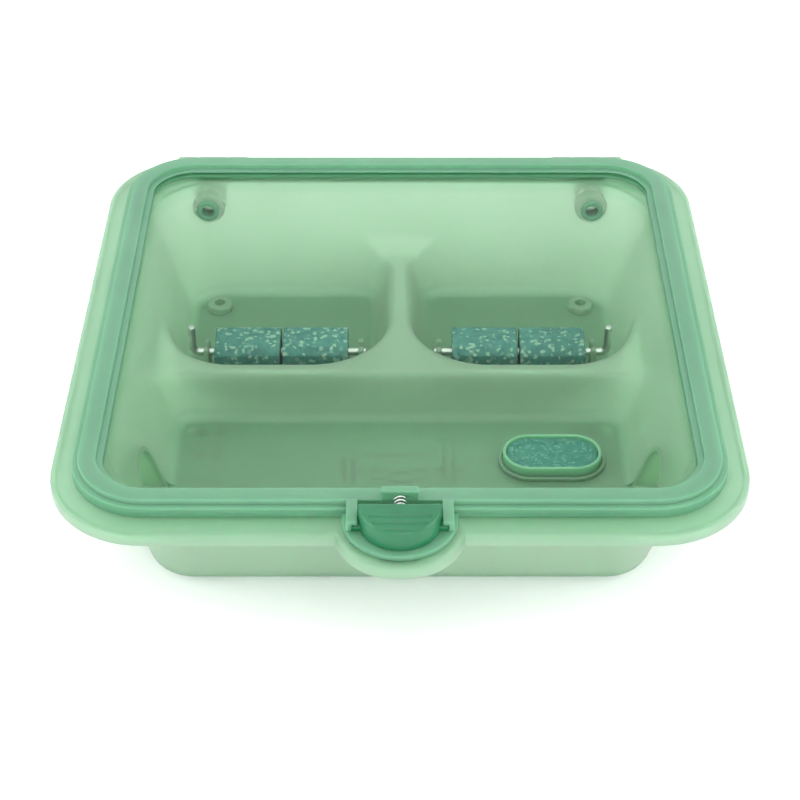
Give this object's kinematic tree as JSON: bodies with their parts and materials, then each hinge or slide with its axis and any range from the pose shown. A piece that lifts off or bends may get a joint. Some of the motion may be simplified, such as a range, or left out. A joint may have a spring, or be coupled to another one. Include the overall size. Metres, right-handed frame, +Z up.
{
  "type": "bait station",
  "caption": "Low square bait station: tapered translucent tray with wells behind a T-shaped divider, side entries, hinged lid with clear window and sprung latch.",
  "frame": {"origin": "under the middle of the square tray, on the surface that it stands on", "axes": "+X to the right, +Y from the latch towards the hinge at the back, +Z up"},
  "size_m": [0.229, 0.2445, 0.058],
  "materials": {
    "tray_plastic": "translucent, satin",
    "lid_plastic": "translucent, satin",
    "window_plastic": "clear, polished",
    "sleeve_plastic": "satin",
    "dish_plastic": "translucent, satin",
    "latch_plastic": "satin",
    "grommet_rubber": "matt",
    "seal_rubber": "matt",
    "steel": "drawn wire",
    "bait_wax": "pressed wax",
    "lure_paste": "dried paste"
  },
  "bodies": {
    "tray": {"base_tray": "tray_plastic", "entry_sleeve_left": "sleeve_plastic", "entry_sleeve_right": "sleeve_plastic", "wall_grommet_left": "grommet_rubber", "wall_grommet_right": "grommet_rubber", "hinge_pin_left": "steel", "hinge_pin_right": "steel"},
    "lid": {"lid_frame": "lid_plastic", "lid_window": "window_plastic", "lid_seal": "seal_rubber", "latch_spring": "steel"},
    "latch": {"latch_button": "latch_plastic"},
    "rod_left": {"bait_rod_left": "steel", "bait_block_left_outer": "bait_wax", "bait_block_left_inner": "bait_wax"},
    "rod_right": {"bait_rod_right": "steel", "bait_block_right_inner": "bait_wax", "bait_block_right_outer": "bait_wax"},
    "dish": {"lure_dish": "dish_plastic", "lure_tablet": "lure_paste"}
  },
  "joints": [
    {"name": "lid_hinge", "type": "hinge", "parent": "tray", "child": "lid", "pos_m": [0, 0.1119, 0.047], "axis": [-1, 0, 0], "range_deg": [0, 110]},
    {"name": "latch_press", "type": "slide", "parent": "lid", "child": "latch", "axis": [0, 1, 0], "range_m": [0, 0.003], "stiffness_N_per_m": 600, "springref_m": -0.004, "deforming": ["latch_spring"]},
    {"name": "rod_left_lift", "type": "slide", "parent": "tray", "child": "rod_left", "axis": [0, 0, 1], "range_m": [0, 0.025]},
    {"name": "rod_right_lift", "type": "slide", "parent": "tray", "child": "rod_right", "axis": [0, 0, 1], "range_m": [0, 0.025]},
    {"name": "dish_lift", "type": "slide", "parent": "tray", "child": "dish", "axis": [0, 0, 1], "range_m": [0, 0.03]}
  ]
}
